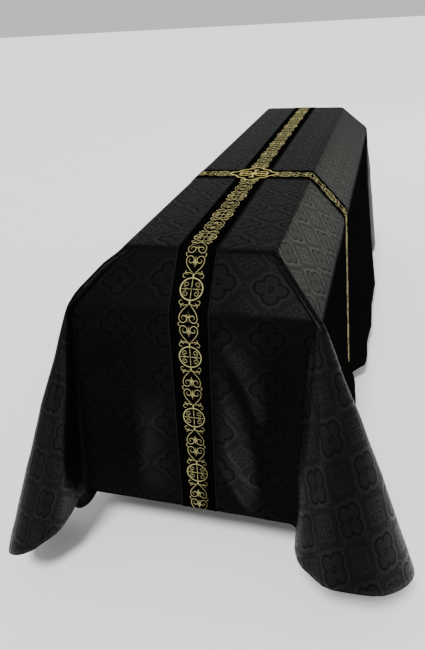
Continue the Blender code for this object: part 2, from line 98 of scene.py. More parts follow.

# %% [markdown]
# ## Folds
# The first rows are the main folds of the solids. The rows after them are the finer creases that
# only the visible cloth has: drag lines from the band to the hem, soft pleats down the flares and
# small puckers under the rim. Each is a soft ridge or trough. Its place is in metres along a
# wall, or a share of a flare, and its fall in metres below the rim.

# %% Main folds
FOLDS = [
    dict(on="near", place=(0.075, 0.215), fall=(0.00, 0.33), width=0.030, height=0.011),
    dict(on="near", place=(0.060, 0.200), fall=(0.16, 0.50), width=0.032, height=0.012),
    dict(on="near", place=(0.062, 0.190), fall=(0.30, 0.56), width=0.030, height=0.009),
    dict(on="near", place=(0.080, 0.205), fall=(0.09, 0.41), width=0.026, height=-0.008),
    dict(on="near", place=(0.230, 0.200), fall=(0.05, 0.565), width=0.026, height=-0.010),
    dict(on="near", place=(-0.215, -0.190), fall=(0.04, 0.565), width=0.034, height=-0.009),
    dict(on="near", place=(-0.120, -0.110), fall=(0.20, 0.565), width=0.045, height=0.006),
    dict(on="flare 0", place=(0.06, 0.13), fall=(-0.06, 0.50), width=0.060, height=0.013),
    dict(on="flare 0", place=(0.42, 0.38), fall=(0.16, 0.70), width=0.070, height=-0.010),
    dict(on="flare 0", place=(0.62, 0.60), fall=(0.06, 0.70), width=0.080, height=0.008),
    dict(on="flare 3", place=(0.55, 0.60), fall=(-0.20, 0.01), width=0.300, height=0.010),
    dict(on="flare 3", place=(0.72, 0.70), fall=(0.04, 0.70), width=0.070, height=-0.009),
    dict(on="flare 3", place=(0.46, 0.50), fall=(0.10, 0.70), width=0.070, height=0.007),
    dict(on="flare 1", place=(0.35, 0.38), fall=(0.10, 0.70), width=0.080, height=-0.009),
    dict(on="flare 2", place=(0.60, 0.56), fall=(0.10, 0.70), width=0.080, height=-0.009),
    dict(on="far", place=(-0.180, -0.150), fall=(0.08, 0.62), width=0.040, height=-0.008),
    dict(on="far", place=(0.110, 0.170), fall=(0.02, 0.45), width=0.036, height=0.009),
    dict(on="right", place=(-0.45, -0.44), fall=(0.48, 0.80), width=0.100, height=0.024),
    dict(on="right", place=(-0.10, -0.12), fall=(0.10, 0.72), width=0.080, height=0.012),
    dict(on="right", place=(0.42, 0.40), fall=(0.10, 0.72), width=0.110, height=-0.014),
    dict(on="right", place=(0.76, 0.74), fall=(0.10, 0.72), width=0.110, height=0.010),
    dict(on="left", place=(-0.02, 0.00), fall=(0.10, 0.72), width=0.100, height=-0.012),
    dict(on="left", place=(0.62, 0.60), fall=(0.10, 0.72), width=0.120, height=0.012),
    dict(on="left", place=(-0.70, -0.72), fall=(0.10, 0.72), width=0.110, height=0.010),
]
FOLD_FADE, OPEN_FADE, FOLD_CLEAR, CREASE_CLEAR = 0.3, 0.5, 0.04, 0.014

# %% Finer creases
CREASES = [
    dict(on="near", place=(0.060, 0.185), fall=(0.10, 0.42), width=0.020, height=0.0090),
    dict(on="near", place=(0.052, 0.210), fall=(0.26, 0.53), width=0.020, height=0.0090),
    dict(on="near", place=(0.052, 0.180), fall=(0.38, 0.57), width=0.018, height=0.0080),
    dict(on="near", place=(-0.070, -0.160), fall=(0.18, 0.50), width=0.014, height=0.0030),
    dict(on="near", place=(-0.170, -0.150), fall=(0.02, 0.22), width=0.012, height=-0.0025),
    dict(on="near", place=(0.150, 0.160), fall=(-0.02, 0.10), width=0.012, height=0.0025),
    dict(on="flare 0", place=(0.26, 0.24), fall=(0.04, 0.70), width=0.030, height=-0.0045),
    dict(on="flare 0", place=(0.33, 0.31), fall=(0.10, 0.70), width=0.026, height=0.0040),
    dict(on="flare 0", place=(0.50, 0.47), fall=(0.20, 0.70), width=0.030, height=0.0040),
    dict(on="flare 3", place=(0.30, 0.28), fall=(0.04, 0.70), width=0.030, height=-0.0045),
    dict(on="flare 3", place=(0.20, 0.22), fall=(0.06, 0.60), width=0.028, height=0.0045),
    dict(on="flare 3", place=(0.58, 0.56), fall=(0.10, 0.70), width=0.030, height=-0.0040),
    dict(on="flare 1", place=(0.60, 0.62), fall=(0.06, 0.70), width=0.040, height=0.0050),
    dict(on="flare 2", place=(0.36, 0.40), fall=(0.06, 0.70), width=0.040, height=0.0050),
    dict(on="far", place=(0.180, 0.100), fall=(0.10, 0.50), width=0.014, height=-0.0035),
    dict(on="far", place=(-0.090, -0.130), fall=(0.05, 0.50), width=0.016, height=0.0040),
    dict(on="right", place=(-0.62, -0.58), fall=(0.04, 0.72), width=0.030, height=-0.0060),
    dict(on="right", place=(-0.16, -0.17), fall=(0.04, 0.72), width=0.022, height=0.0060),
    dict(on="right", place=(0.16, 0.15), fall=(0.06, 0.72), width=0.035, height=0.0060),
    dict(on="right", place=(0.58, 0.60), fall=(0.04, 0.72), width=0.030, height=0.0050),
    dict(on="left", place=(-0.48, -0.50), fall=(0.04, 0.72), width=0.030, height=0.0060),
    dict(on="left", place=(0.28, 0.25), fall=(0.05, 0.72), width=0.034, height=0.0060),
    dict(on="left", place=(0.82, 0.80), fall=(0.05, 0.72), width=0.030, height=-0.0050),
]

# %% [markdown]
# ## Stations: lines down the cloth
# A station is one line of the cloth: it leaves the lid's top, bends over the lid's edge, runs down
# the slope, bends over the rim and hangs straight to the hem. A ring of stations makes the whole
# drape, so a fold can run down the cloth and a flare can swing out without any stretching.

# %% Small helpers for the drape
def ease(value):
    """0 below 0, 1 above 1, and a soft S between."""
    t = np.clip(value, 0.0, 1.0)
    return t * t * (3 - 2 * t)


def flare_loop(row, valley_steps=7, crest_steps=15):
    """Plan of a flare one metre down, as shares of its length, and the flare's foot."""
    neck = math.radians(row["neck"])
    bend = math.sin(neck) + math.cos(neck)
    spare = row["fillet"] * neck + QUARTER + neck - (1 + row["fillet"]) * bend + row["fillet"]
    crest = row["gather"] * QUARTER / spare
    valley = row["fillet"] * crest
    foot = (crest + valley) * bend - valley
    points, lengths = [], []
    for turn in np.linspace(0, neck, valley_steps + 1):
        points.append((-foot + valley * math.sin(turn), valley * (1 - math.cos(turn))))
        lengths.append(valley * turn)
    centre = (-foot + (valley + crest) * math.sin(neck), valley - (valley + crest) * math.cos(neck))
    for turn in np.linspace(0, neck + QUARTER, crest_steps + 1)[1:]:
        heading = neck - turn
        points.append((centre[0] - crest * math.sin(heading), centre[1] + crest * math.cos(heading)))
        lengths.append(valley * neck + crest * turn)
    shares = [length / (2 * lengths[-1]) for length in lengths]
    points += [(y, x) for x, y in reversed(points[:-1])]
    return points, shares + [1 - share for share in reversed(shares[:-1])]


def hang_length(angle, rounding):
    """Cloth from the rim corner to the cut edge, angle from straight down the end."""
    down = math.cos(angle) / END_HANG
    across = math.sin(angle) / SIDE_HANG
    length = 1 / max(down, across)
    straight = 1 - rounding
    if length * min(down, across) > straight:
        along = straight * (down + across)
        square = down ** 2 + across ** 2
        length = (along + math.sqrt(along ** 2 - square * (2 * straight ** 2 - rounding ** 2))) / square
    return length


def swing_of(leans, place):
    """Sideways part of a wall's fall at a place along it."""
    places, degrees = zip(*leans)
    return math.sin(math.radians(float(np.interp(place, places, degrees))))

# %% Stations of a flare and of a wall
def station(region, place, top, rim, swing, length, inward):
    """One line down the cloth, round the middle of the casket."""
    swing = np.array([*swing, 0.0])
    down = math.sqrt(1 - min(float(swing @ swing), 0.9))
    return dict(region=region, place=place, length=length, fall=swing - np.array([0.0, 0.0, down]),
                top=np.array([*top, LID_HEIGHT]), rim=np.array([*rim, RIM_HEIGHT]),
                inward=np.array([*inward, 0.0]))


def flare_stations(number):
    """The stations round one flare, from its end wall to its side wall."""
    row = FLARES[number]
    flip = np.array([row["x"], row["y"]])
    reach = np.array([row["x_reach"], row["y_reach"]])
    walls = np.sin(np.radians([row["side_lean"], row["end_lean"]]))
    stations = []
    for point, share in zip(*flare_loop(row)):
        out = reach * np.array(point)
        turn = 2 * QUARTER * share
        arc = TOP_CORNER * (np.array([math.sin(turn), math.cos(turn)]) - 1)
        stations.append(station(
            f"flare {number}", share,
            flip * (np.array([LID_WIDTH, LID_LENGTH]) / 2 + arc),
            flip * (np.array([RIM_WIDTH, RIM_LENGTH]) / 2 + out * row["start"]),
            flip * (walls + out), hang_length(turn, row["rounding"]),
            -flip * np.array([math.sin(turn), math.cos(turn)])))
    return stations


def wall_stations(region, axis, side, start, end, places, fixed, leans, length):
    """Stations along one wall, between the flare stations start and end."""
    stations = []
    for place in places:
        nearest = start if place < fixed[0] else end
        limit = fixed[0] if place < fixed[0] else fixed[1]
        edge = nearest["rim"][axis]
        share = 0.0 if fixed[0] <= place <= fixed[1] else (place - limit) / (edge - limit)
        top, rim, swing, inward = np.zeros(2), np.zeros(2), np.zeros(2), np.zeros(2)
        top[axis] = place + share * (nearest["top"][axis] - edge)
        top[1 - axis] = side * (LID_WIDTH if axis else LID_LENGTH) / 2
        rim[axis] = place
        rim[1 - axis] = side * (RIM_WIDTH if axis else RIM_LENGTH) / 2
        swing[axis] = share * nearest["fall"][axis]
        swing[1 - axis] = side * swing_of(leans, place)
        inward[1 - axis] = -side
        stations.append(station(region, place, top, rim, swing, length, inward))
    return stations

# %% The ring of stations
near_right, far_right, far_left, near_left = [flare_stations(number) for number in range(4)]
END_FIXED = (-BAND_WIDTH / 2 - BAND_CLEAR, BAND_WIDTH / 2 + BAND_CLEAR)
SIDE_FIXED = (CROSS_Y - BAND_WIDTH / 2 - ARM_CLEAR, CROSS_Y + BAND_WIDTH / 2 + ARM_CLEAR)
WALLS = {
    "near": (0, -1, near_left[0], near_right[0], END_FIXED, NEAR_LEAN, END_HANG, 64),
    "right": (1, 1, near_right[-1], far_right[-1], SIDE_FIXED, RIGHT_LEAN, SIDE_HANG, 84),
    "far": (0, 1, far_left[0], far_right[0], END_FIXED, FAR_LEAN, END_HANG, 48),
    "left": (1, -1, near_left[-1], far_left[-1], SIDE_FIXED, LEFT_LEAN, SIDE_HANG, 72),
}


def lines_at(region, places=None):
    """Stations of one wall, at the given places or evenly along it."""
    axis, side, start, end, fixed, leans, length, steps = WALLS[region]
    if places is None:
        places = np.linspace(start["rim"][axis], end["rim"][axis], steps + 1)[1:-1]
    return wall_stations(region, axis, side, start, end, places, fixed, leans, length)


ring = (lines_at("near") + near_right + lines_at("right") + far_right[::-1]
        + lines_at("far")[::-1] + far_left + lines_at("left")[::-1] + near_left[::-1])
print("stations round the pall:", len(ring))

# %% [markdown]
# ## From stations to a grid
# Rows run down the cloth and columns round it. The two bends are quadratic curves, which keep the
# edges soft as cloth over wood is. Then each fold moves the grid along its own normals.

# %% Points down one station
TOP_BEND_STEPS, SLOPE_STEPS, RIM_BEND_STEPS, HANG_STEPS = 5, 9, 7, 44


def bend_points(before, corner, after, arm, steps):
    """A quadratic curve round a corner, arm away from it on both sides."""
    enter = corner + arm * (before - corner) / np.linalg.norm(before - corner)
    leave = corner + arm * (after - corner) / np.linalg.norm(after - corner)
    t = np.linspace(0, 1, steps + 1)[:, None]
    return (1 - t) ** 2 * enter + 2 * t * (1 - t) * corner + t ** 2 * leave


def line_down(line):
    """Points of one station and how far below the rim the cloth has run at each."""
    hem = line["rim"] + line["fall"] * line["length"]
    slope = np.linalg.norm(line["rim"] - line["top"])
    first = bend_points(line["top"] + line["inward"], line["top"], line["rim"], TOP_BEND, TOP_BEND_STEPS)
    second = bend_points(line["top"], line["rim"], hem, RIM_BEND, RIM_BEND_STEPS)
    t = np.linspace(0, 1, SLOPE_STEPS + 1)[1:-1, None]
    between = first[-1] + t * (second[0] - first[-1])
    runs = np.linspace(RIM_BEND, line["length"], HANG_STEPS + 1)[1:]
    hang = line["rim"] + line["fall"] * runs[:, None]
    all_runs = [np.linspace(-slope - TOP_BEND, -slope + TOP_BEND, TOP_BEND_STEPS + 1),
                np.linspace(-slope + TOP_BEND, -RIM_BEND, SLOPE_STEPS + 1)[1:-1],
                np.linspace(-RIM_BEND, RIM_BEND, RIM_BEND_STEPS + 1), runs]
    return np.concatenate([first, between, second, hang]), np.concatenate(all_runs)


lines = [line_down(line) for line in ring]
plain = np.array([line[0] for line in lines]).transpose(1, 0, 2)
runs = np.array([line[1] for line in lines]).T
print("grid of the cloth:", plain.shape[:2])

# %% Raise the folds along the normals
def fold_height(stations, runs, folds):
    """Height of the folds over the smooth drape, for every point of the grid."""
    height = np.zeros(runs.shape)
    for column, line in enumerate(stations):
        run = runs[:, column]
        for fold in folds:
            if fold["on"] != line["region"]:
                continue
            centre = np.interp(run, fold["fall"], fold["place"])
            across = np.exp(-((line["place"] - centre) / fold["width"]) ** 2)
            reach = FOLD_FADE * (fold["fall"][1] - fold["fall"][0])
            runs_out = OPEN_FADE if fold["fall"][1] > END_HANG else 0.0
            begin = ease((run - fold["fall"][0]) / reach)
            finish = ease((fold["fall"][1] - run) / reach + runs_out)
            height[:, column] += fold["height"] * across * begin * finish
    return height


def clear_of_band(line, reach):
    """0 under the bands, where the cloth lies plain, rising to 1 beside them."""
    if line["region"].startswith("flare"):
        return 1.0
    middle = 0.0 if line["region"] in ("near", "far") else CROSS_Y
    return float(ease((abs(line["place"] - middle) - BAND_WIDTH / 2) / reach))


def unevenness(point, run):
    """The small swell of real cloth, a little more where it hangs free."""
    swell = noise.noise(Vector(point) * 7.0) + 0.5 * noise.noise(Vector(point) * 17.0)
    return 0.0022 * swell * float(ease((run + 0.12) / 0.2))


round_it = np.roll(plain, -1, axis=1) - np.roll(plain, 1, axis=1)
normals = np.cross(np.gradient(plain, axis=0), round_it)
normals /= np.linalg.norm(normals, axis=2, keepdims=True)
main_folds = fold_height(ring, runs, FOLDS) * np.array([clear_of_band(line, FOLD_CLEAR) for line in ring])
creases = fold_height(ring, runs, CREASES) * np.array([clear_of_band(line, CREASE_CLEAR) for line in ring])
height = np.zeros(runs.shape)
for column, line in enumerate(ring):
    on_flare = line["region"].startswith("flare")
    if on_flare and line["region"] != "flare 3":
        on_hang = ease((runs[:, column] + 0.01) / 0.06)
        main_folds[:, column] *= on_hang
        creases[:, column] *= on_hang
    for level in range(len(runs)):
        if not on_flare or runs[level, column] > 0:
            height[level, column] += unevenness(plain[level, column], runs[level, column])
height *= np.array([clear_of_band(line, FOLD_CLEAR) for line in ring])
height += main_folds + creases
cloth_grid = plain + normals * height[..., None]
print("deepest trough and highest ridge (mm):", (height.min() * 1000).round(1), (height.max() * 1000).round(1))

# %% [markdown]
# ## Where each point lay in the flat cloth
# The damask is woven in the flat, so its pattern needs every point's place in the flat sheet. On
# the walls that is the place along the wall and the run down it. In a flare the cloth fans out
# round the rim's corner by a quarter turn. These places go into the cloth's own UV map in metres.

# %% Flat places
def flat_places(stations, plain, runs):
    """Place of every grid point in the flat pall, in metres from its middle."""
    flat = np.zeros((*runs.shape, 2))
    end_rim, side_rim = LID_LENGTH / 2 + END_SLOPE, LID_WIDTH / 2 + SIDE_SLOPE
    hung = np.maximum(runs, 0.0)
    for column, line in enumerate(stations):
        region = line["region"]
        if region in ("near", "far"):
            flat[:, column, 0] = plain[:, column, 0]
            flat[:, column, 1] = np.sign(line["rim"][1]) * (end_rim + runs[:, column])
        elif region in ("left", "right"):
            flat[:, column, 0] = np.sign(line["rim"][0]) * (side_rim + runs[:, column])
            flat[:, column, 1] = plain[:, column, 1]
    for number in range(4):
        own = [c for c, line in enumerate(stations) if line["region"] == f"flare {number}"]
        own.sort(key=lambda c: stations[c]["place"])
        flip = np.array([FLARES[number]["x"], FLARES[number]["y"]])
        on_end, on_side = np.abs(plain[:, own[0]]), np.abs(plain[:, own[-1]])
        for column in own:
            share = stations[column]["place"]
            turn = 2 * QUARTER * share
            above = np.minimum(runs[:, column], 0.0)
            x = (1 - share) * on_end[:, 0] + share * (side_rim + above)
            y = (1 - share) * (end_rim + above) + share * on_side[:, 1]
            flat[:, column, 0] = flip[0] * (x + hung[:, column] * math.sin(turn))
            flat[:, column, 1] = flip[1] * (y + hung[:, column] * math.cos(turn))
    return flat


flat = flat_places(ring, plain, runs)
to_hem = np.array([line["length"] for line in ring]) - runs
print("flat box of the pall:", flat.min(axis=(0, 1)).round(3), flat.max(axis=(0, 1)).round(3))

# %% Build the cloth
def mesh_object(name, points, faces):
    """An object at the origin with these points, given round the middle of the casket."""
    mesh = bpy.data.meshes.new(name)
    mesh.from_pydata([tuple(point) for point in np.asarray(points) + MIDDLE], [], faces)
    mesh.update()
    piece = bpy.data.objects.new(name, mesh)
    bpy.context.collection.objects.link(piece)
    return piece


def paint_uv(piece, places):
    """Writes one place in the flat cloth per vertex into the piece's UV map."""
    layer = piece.data.uv_layers.new(name="flat")
    corners = np.empty(len(piece.data.loops), dtype=np.int32)
    piece.data.loops.foreach_get("vertex_index", corners)
    layer.data.foreach_set("uv", np.asarray(places, dtype=np.float32)[corners].ravel())


def sheen_of(stations, runs):
    """Satin sheen: full on the lid's top and side slopes, less on the ends, none on the long walls."""
    slopes = {"near": 0.16, "far": 0.16, "right": 1.0, "left": 1.0}
    hangs = {"near": 0.12, "far": 0.12, "right": 0.0, "left": 0.0}
    sheen = np.zeros(runs.shape)
    ridges = np.clip((main_folds + creases) / 0.010, -0.6, 1.6)
    for column, line in enumerate(stations):
        slope = np.linalg.norm(line["rim"] - line["top"])
        run = runs[:, column]
        if line["region"] in slopes:
            on_slope, hanging = slopes[line["region"]], hangs[line["region"]]
        else:
            valley = 0.03 if line["region"] == "flare 0" else 0.0
            crest = float(ease((min(line["place"], 1 - line["place"]) - valley) / 0.10))
            on_slope, hanging = 0.16 + 0.84 * float(ease(line["place"])), 0.10 + 1.70 * crest
        on_top = ease((-slope + 0.004 - run) / 0.012)
        below = ease(run / 0.06 + 0.4)
        lift = hanging + (1.2 if hanging > 0 else 0.0) * ridges[:, column]
        sheen[:, column] = on_top + (1 - on_top) * ((1 - below) * on_slope + below * np.maximum(lift, 0.0))
    return sheen


def build_pall():
    """The whole cloth: the ring of walls and flares, closed by the lid's flat top."""
    rows, columns = runs.shape
    faces = []
    for row in range(rows - 1):
        for column in range(columns):
            beside = (column + 1) % columns
            faces.append([row * columns + beside, row * columns + column,
                          (row + 1) * columns + column, (row + 1) * columns + beside])
    faces.append(list(range(columns)))
    piece = mesh_object("pall_damask", cloth_grid.reshape(-1, 3), faces)
    paint_uv(piece, flat.reshape(-1, 2))
    hem = piece.data.attributes.new("to_hem", "FLOAT", "POINT")
    hem.data.foreach_set("value", to_hem.ravel().astype(np.float32))
    taut = piece.data.attributes.new("taut", "FLOAT", "POINT")
    taut.data.foreach_set("value", sheen_of(ring, runs).ravel().astype(np.float32))
    shape = bmesh.new()
    shape.from_mesh(piece.data)
    bmesh.ops.triangulate(shape, faces=[face for face in shape.faces if len(face.verts) > 4])
    shape.to_mesh(piece.data)
    shape.free()
    piece.data.shade_smooth()
    thicken = piece.modifiers.new("Thickness", "SOLIDIFY")
    thicken.thickness = CLOTH_THICKNESS
    thicken.offset = -1
    return piece


pall = build_pall()
print("pall faces:", len(pall.data.polygons))

# %% [markdown]
# ## The woven bands
# Each band is a flat galloon sewn on the pall, so it bends with the cloth over the lid's edge and
# the rim. Its own lines down the cloth are asked from the same stations as the walls. One layer of
# faces lies just above the cloth, and Solidify gives it the thickness of a woven band.

# %% Build a band from lines down the cloth
BAND_LINES = 9
half = BAND_WIDTH / 2


def surface_lines(region, places):
    """Lines of the cloth's face at these places of a wall, from the lid to the hem."""
    return [line_down(line)[0] for line in lines_at(region, places)]


def build_band(name, lines):
    """lines: from the band's left edge to its right edge, seen from outside."""
    strip = np.array(lines)
    along = np.gradient(strip, axis=1)
    normal = np.cross((strip[-1] - strip[0])[None], along)
    normal /= np.linalg.norm(normal, axis=2, keepdims=True)
    strip = strip + normal * (SEAT_GAP + BAND_THICKNESS)
    across, count = strip.shape[:2]
    faces = [[line * count + step, (line + 1) * count + step,
              (line + 1) * count + step + 1, line * count + step + 1]
             for line in range(across - 1) for step in range(count - 1)]
    piece = mesh_object(name, strip.reshape(-1, 3), faces)
    middle = strip[across // 2]
    length = np.concatenate([[0], np.cumsum(np.linalg.norm(np.diff(middle, axis=0), axis=1))])
    place = np.zeros((across, count, 2))
    place[..., 0] = np.linspace(-half, half, across)[:, None]
    place[..., 1] = length[None]
    paint_uv(piece, place.reshape(-1, 2))
    piece.data.shade_smooth()
    thicken = piece.modifiers.new("Thickness", "SOLIDIFY")
    thicken.thickness = BAND_THICKNESS
    thicken.offset = -1
    return piece, middle, length, strip


long_places = np.linspace(-half, half, BAND_LINES)
near_lines = surface_lines("near", long_places)
far_lines = surface_lines("far", long_places)
bands = {"long": build_band("band_long_woven", [np.concatenate([down[::-1], up])
                                                for down, up in zip(near_lines, far_lines)])}
for region, side in (("right", 1), ("left", -1)):
    places = CROSS_Y - side * np.linspace(-half, half, BAND_LINES)
    arm = [np.concatenate([[[side * (half + SEAT_GAP), place, LID_HEIGHT]], line])
           for place, line in zip(places, surface_lines(region, places))]
    bands[region] = build_band(f"band_arm_{region}_woven", arm)
print({name: round(float(band[2][-1]), 3) for name, band in bands.items()}, "m of band")

# %% [markdown]
# ## The gold ornament
# Roundels with a cross and four scrolls stand between pairs of hearts, whose sides curl inwards
# into spirals. Every stroke is one of three simple lines: a ring, a straight bar, or a scroll whose
# bend tightens along its length, as a drawn flourish does. A quarter is drawn and mirrored.

# %% Strokes of one repeat
REPEAT = 0.171
ROUNDEL_RADIUS = 0.0272
GOLD_RISE = 0.0005


def scroll(start, heading, *phases):
    """A line through phases of (length, first bend, last bend, steps), bends in radians per metre."""
    point, angle = np.array(start, dtype=float), math.radians(heading)
    points = [point]
    for length, first, last, steps in phases:
        step = length / steps
        for k in range(steps):
            turn = first * (last / first) ** ((k + 0.5) / steps) * step
            middle = angle + turn / 2
            point = point + step * np.array([math.cos(middle), math.sin(middle)])
            angle += turn
            points.append(point)
    return np.array(points)


def ring_line(radius, steps):
    turns = np.linspace(0, 2 * math.pi, steps + 1)
    return np.column_stack([radius * np.cos(turns), radius * np.sin(turns)])


def bar(start, end):
    return np.linspace(start, end, 3)


QUARTER_STROKES = [
    dict(line=scroll((0.0365, 0.0), 47.6, (0.0584, -4.0, -172, 22), (0.0403, -76, -258, 18)), width=0.0017),
    dict(line=scroll((0.0360, 0.0015), 62, (0.040, 20, 420, 14)), width=0.0015),
    dict(line=scroll((0.0350, 0.0130), 80, (0.016, -60, -420, 7)), width=0.0014),
    dict(line=scroll((0.0800, 0.0205), 60, (0.013, -60, -500, 6)), width=0.0014),
    dict(line=scroll((0.0690, 0.0006), 140, (0.010, 40, 220, 4)), width=0.0016),
    dict(line=scroll((0.0030, 0.0110), 92, (0.042, -112, -330, 18)), width=0.0012),
]
HALF_STROKES = [
    dict(line=bar((0.0800, 0.0), (0.0540, 0.0)), width=0.0025),
    dict(line=bar((0.0280, 0.0), (0.0380, 0.0)), width=0.0039),
    dict(line=bar((0.0, 0.0), (0.0260, 0.0)), width=0.0019),
]
CROSS_STROKES = [dict(line=bar((0.0, 0.0), (0.0, 0.0260)), width=0.0019)]


def raised_line(line, width, rise, closed=False):
    """A closed ridge along a flat line: two edges, a crest and a keel, with narrow tips."""
    ahead = np.gradient(line, axis=0)
    if closed:
        ahead[0] = ahead[-1] = ahead[0] + ahead[-1]
    ahead /= np.linalg.norm(ahead, axis=1, keepdims=True)
    beside = np.column_stack([-ahead[:, 1], ahead[:, 0]])
    count = len(line)
    share = np.linspace(0, 1, count)
    taper = np.ones(count) if closed else 0.35 + 0.65 * ease(np.minimum(share, 1 - share) * 7)
    offset = beside * (taper * width / 2)[:, None]
    low = np.zeros((count, 1))
    left, right = np.hstack([line + offset, low]), np.hstack([line - offset, low])
    crest = np.hstack([line, low + rise])
    keel = np.hstack([line, low - 0.0002])
    points = np.stack([right, crest, left, keel], axis=1)
    if closed:
        points = points[:-1]
    count = len(points)
    faces = []
    for step in range(count if closed else count - 1):
        after = (step + 1) % count
        for side in range(4):
            beside_it = (side + 1) % 4
            faces.append([step * 4 + side, after * 4 + side, after * 4 + beside_it, step * 4 + beside_it])
    if not closed:
        faces.append([0, 1, 2, 3])
        faces.append([(count - 1) * 4 + side for side in (3, 2, 1, 0)])
    return points.reshape(-1, 3), faces


def strokes_mesh(name, parts):
    """Joins raised lines into one mesh with its faces pointing out."""
    points, faces = [], []
    for part_points, part_faces in parts:
        shift = sum(len(block) for block in points)
        points.append(part_points)
        faces += [[index + shift for index in face] for face in part_faces]
    mesh = bpy.data.meshes.new(name)
    mesh.from_pydata([tuple(point) for point in np.concatenate(points)], [], faces)
    shape = bmesh.new()
    shape.from_mesh(mesh)
    bmesh.ops.recalc_face_normals(shape, faces=shape.faces)
    shape.to_mesh(mesh)
    shape.free()
    return mesh


def mirrored(strokes, flips):
    return [raised_line(stroke["line"] * np.array(flip), stroke["width"], GOLD_RISE)
            for stroke in strokes for flip in flips]


four_ways = [(1, 1), (1, -1), (-1, 1), (-1, -1)]
repeat_parts = [raised_line(ring_line(ROUNDEL_RADIUS, 34), 0.0027, GOLD_RISE, closed=True)]
repeat_parts += mirrored(QUARTER_STROKES, four_ways)
repeat_parts += mirrored(HALF_STROKES, [(1, 1), (-1, 1)])
repeat_parts += mirrored(CROSS_STROKES, [(1, 1), (1, -1)])
repeat_mesh = strokes_mesh("one_repeat", repeat_parts)
print("one repeat of the ornament:", len(repeat_mesh.polygons), "faces")

# %% [markdown]
# ## Laying a repeat along a band
# Geometry Nodes place the repeats in a row, and then wrap the row round the band: each point's
# length along the row is looked up on a curve that runs down the middle of the band. What would
# lie past the hem is cut away, as the weaver's repeat is cut by the hem.

# %% The wrapping tree
def wrapping_tree():
    """Repeats its mesh along X, then wraps X round the path and Y across it."""
    tree = bpy.data.node_groups.new("repeat_along_band", "GeometryNodeTree")
    sockets = [("Geometry", "NodeSocketGeometry"), ("Path", "NodeSocketObject"), ("Count", "NodeSocketInt"),
               ("Pitch", "NodeSocketFloat"), ("Start", "NodeSocketFloat"), ("Length", "NodeSocketFloat"),
               ("Across", "NodeSocketVector"), ("Material", "NodeSocketMaterial")]
    for name, kind in sockets:
        tree.interface.new_socket(name, in_out="INPUT", socket_type=kind)
    tree.interface.new_socket("Geometry", in_out="OUTPUT", socket_type="NodeSocketGeometry")

    def add(kind, links=(), **settings):
        node = tree.nodes.new(kind)
        for name, value in settings.items():
            setattr(node, name, value)
        for socket, source in dict(links).items():
            tree.links.new(source, node.inputs[socket])
        return node

    given = add("NodeGroupInput").outputs
    path = add("GeometryNodeObjectInfo", {"Object": given["Path"]}).outputs["Geometry"]
    offset = add("ShaderNodeCombineXYZ", {"X": given["Pitch"]}).outputs[0]
    start = add("ShaderNodeCombineXYZ", {"X": given["Start"]}).outputs[0]
    row = add("GeometryNodeMeshLine", {"Count": given["Count"], "Offset": offset, "Start Location": start})
    placed = add("GeometryNodeInstanceOnPoints", {"Points": row.outputs[0], "Instance": given["Geometry"]})
    real = add("GeometryNodeRealizeInstances", {"Geometry": placed.outputs[0]})
    split = add("ShaderNodeSeparateXYZ", {"Vector": add("GeometryNodeInputPosition").outputs[0]})
    below = add("FunctionNodeCompare", {"A": split.outputs["X"]}, operation="LESS_THAN")
    past = add("FunctionNodeCompare", {"A": split.outputs["X"], "B": given["Length"]}, operation="GREATER_THAN")
    outside = add("FunctionNodeBooleanMath", {0: below.outputs[0], 1: past.outputs[0]}, operation="OR")
    kept = add("GeometryNodeDeleteGeometry", {"Geometry": real.outputs[0], "Selection": outside.outputs[0]})
    sample = add("GeometryNodeSampleCurve", {"Curves": path, "Length": split.outputs["X"]}, mode="LENGTH")
    normal = add("ShaderNodeVectorMath", {0: sample.outputs["Tangent"], 1: given["Across"]},
                 operation="CROSS_PRODUCT")
    side = add("ShaderNodeVectorMath", {0: given["Across"], "Scale": split.outputs["Y"]}, operation="SCALE")
    rise = add("ShaderNodeVectorMath", {0: normal.outputs[0], "Scale": split.outputs["Z"]}, operation="SCALE")
    near = add("ShaderNodeVectorMath", {0: sample.outputs["Position"], 1: side.outputs[0]}, operation="ADD")
    place = add("ShaderNodeVectorMath", {0: near.outputs[0], 1: rise.outputs[0]}, operation="ADD")
    moved = add("GeometryNodeSetPosition", {"Geometry": kept.outputs[0], "Position": place.outputs[0]})
    made = add("GeometryNodeSetMaterial", {"Geometry": moved.outputs[0], "Material": given["Material"]})
    tree.links.new(made.outputs[0], add("NodeGroupOutput").inputs["Geometry"])
    return tree


def path_curve(name, points):
    """A poly curve through these points, given round the middle of the casket."""
    curve = bpy.data.curves.new(name, "CURVE")
    curve.dimensions = "3D"
    spline = curve.splines.new("POLY")
    spline.points.add(len(points) - 1)
    for point, place in zip(spline.points, np.asarray(points) + MIDDLE):
        point.co = (*place, 1.0)
    path = bpy.data.objects.new(name, curve)
    bpy.context.collection.objects.link(path)
    return path


def run_tree(name, mesh, tree, values):
    """Runs a tree on a mesh and returns the result as a plain object, its path removed."""
    source = bpy.data.objects.new(f"{name}_source", mesh)
    bpy.context.collection.objects.link(source)
    modifier = source.modifiers.new("Tree", "NODES")
    modifier.node_group = tree
    for item in tree.interface.items_tree:
        if item.in_out == "INPUT" and item.name in values:
            modifier[item.identifier] = values[item.name]
    result = bpy.data.meshes.new_from_object(source.evaluated_get(bpy.context.evaluated_depsgraph_get()))
    result.name = name
    piece = bpy.data.objects.new(name, result)
    bpy.context.collection.objects.link(piece)
    bpy.data.objects.remove(source)
    bpy.data.objects.remove(values["Path"])
    return piece

# %% [markdown]
# ## Materials
# One small class keeps the shader maths readable: it wraps a socket, so that sums and products of
# sockets add their Math nodes.

